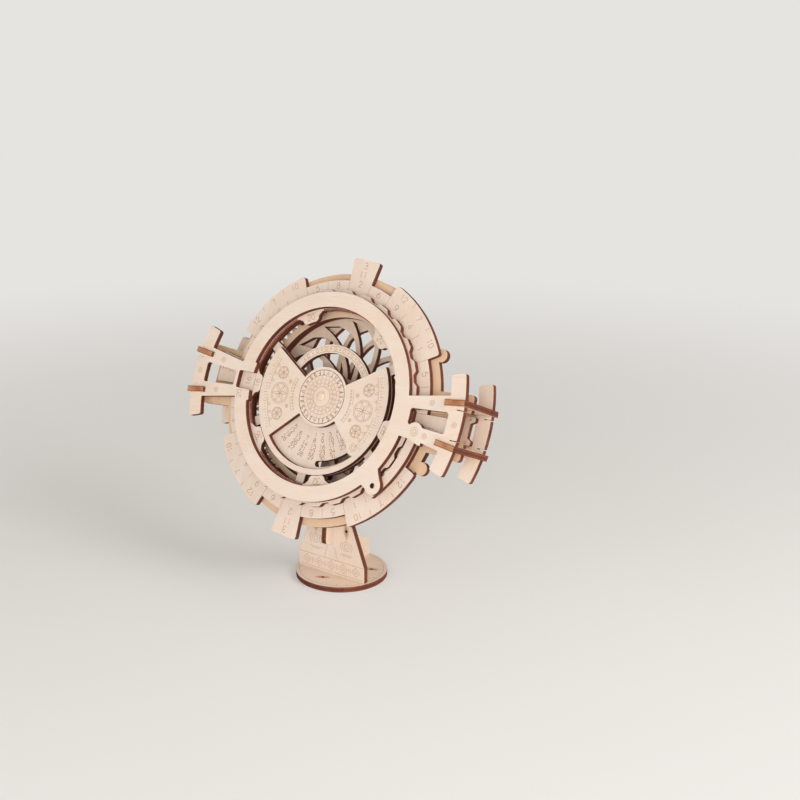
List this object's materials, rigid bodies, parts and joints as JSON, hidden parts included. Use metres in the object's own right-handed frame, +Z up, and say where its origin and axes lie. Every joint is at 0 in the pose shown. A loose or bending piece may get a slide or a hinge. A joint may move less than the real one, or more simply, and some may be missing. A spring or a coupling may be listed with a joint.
{
  "type": "perpetual desk calendar",
  "caption": "Free-standing wooden perpetual calendar: a leaning wheel of year, month, date and weekday dials on a round stand, with toothed drive and swirl rings.",
  "frame": {"origin": "centre of the base disc's underside, on the table", "axes": "+Z up, the wheel's face looks to -Y and leans back, +X to the right as seen from the front"},
  "size_m": [0.175, 0.0834, 0.1737],
  "materials": {
    "birch_plywood": "bare laser-cut plywood",
    "shaded_plywood": "bare laser-cut plywood",
    "wood_dowel": "bare turned dowel"
  },
  "bodies": {
    "stand_and_frames": {"base_disc": "birch_plywood", "stand_panel": "birch_plywood", "stand_rib": "birch_plywood", "front_frame": "birch_plywood", "middle_frame": "shaded_plywood", "rear_frame": "birch_plywood", "connector_left_upper": "shaded_plywood", "connector_left_lower": "shaded_plywood", "connector_right_upper": "shaded_plywood", "connector_right_lower": "shaded_plywood", "wing_brace_left": "birch_plywood", "wing_brace_right": "birch_plywood", "guide_pins": "wood_dowel", "detent_pin": "wood_dowel"},
    "year_wheel": {"year_ring": "birch_plywood"},
    "detent": {"detent_arm": "birch_plywood"},
    "month_wheel": {"month_dial": "birch_plywood", "spacer_blocks": "shaded_plywood", "main_gear": "shaded_plywood", "spacer_ring": "shaded_plywood", "front_swirl": "birch_plywood"},
    "date_window": {"window_cover": "birch_plywood", "window_pin": "wood_dowel", "pin_keeper": "shaded_plywood"},
    "weekday_wheel": {"weekday_disc": "birch_plywood", "axle": "wood_dowel", "rear_swirl": "birch_plywood", "axle_collar": "shaded_plywood", "axle_knob": "birch_plywood"},
    "side_drive": {"pinion": "shaded_plywood", "pinion_axle": "wood_dowel", "side_knob": "birch_plywood"}
  },
  "joints": [
    {"name": "year_turn", "type": "hinge", "parent": "stand_and_frames", "child": "year_wheel", "pos_m": [0, -0.0195, 0.1076], "axis": [0, -0.9146, 0.4043], "continuous": true},
    {"name": "detent_swing", "type": "hinge", "parent": "stand_and_frames", "child": "detent", "pos_m": [0.0624, -0.01789, 0.09912], "axis": [0, -0.9146, 0.4043], "range_deg": [0, 3], "stiffness_Nm_per_rad": 0.005, "springref_deg": -5.73},
    {"name": "month_turn", "type": "hinge", "parent": "stand_and_frames", "child": "month_wheel", "pos_m": [0, -0.0195, 0.1076], "axis": [0, -0.9146, 0.4043], "continuous": true},
    {"name": "window_turn", "type": "hinge", "parent": "month_wheel", "child": "date_window", "pos_m": [0, -0.0195, 0.1076], "axis": [0, -0.9146, 0.4043], "range_deg": [-42.1, 34.8]},
    {"name": "weekday_turn", "type": "hinge", "parent": "stand_and_frames", "child": "weekday_wheel", "pos_m": [0, -0.0195, 0.1076], "axis": [0, -0.9146, 0.4043], "continuous": true},
    {"name": "knob_turn", "type": "hinge", "parent": "stand_and_frames", "child": "side_drive", "pos_m": [0, 0.01748, 0.15291], "axis": [0, -0.9146, 0.4043], "continuous": true}
  ],
  "couplings": [
    {"joint": "knob_turn", "follows": "month_turn", "ratio": -7.5}
  ]
}
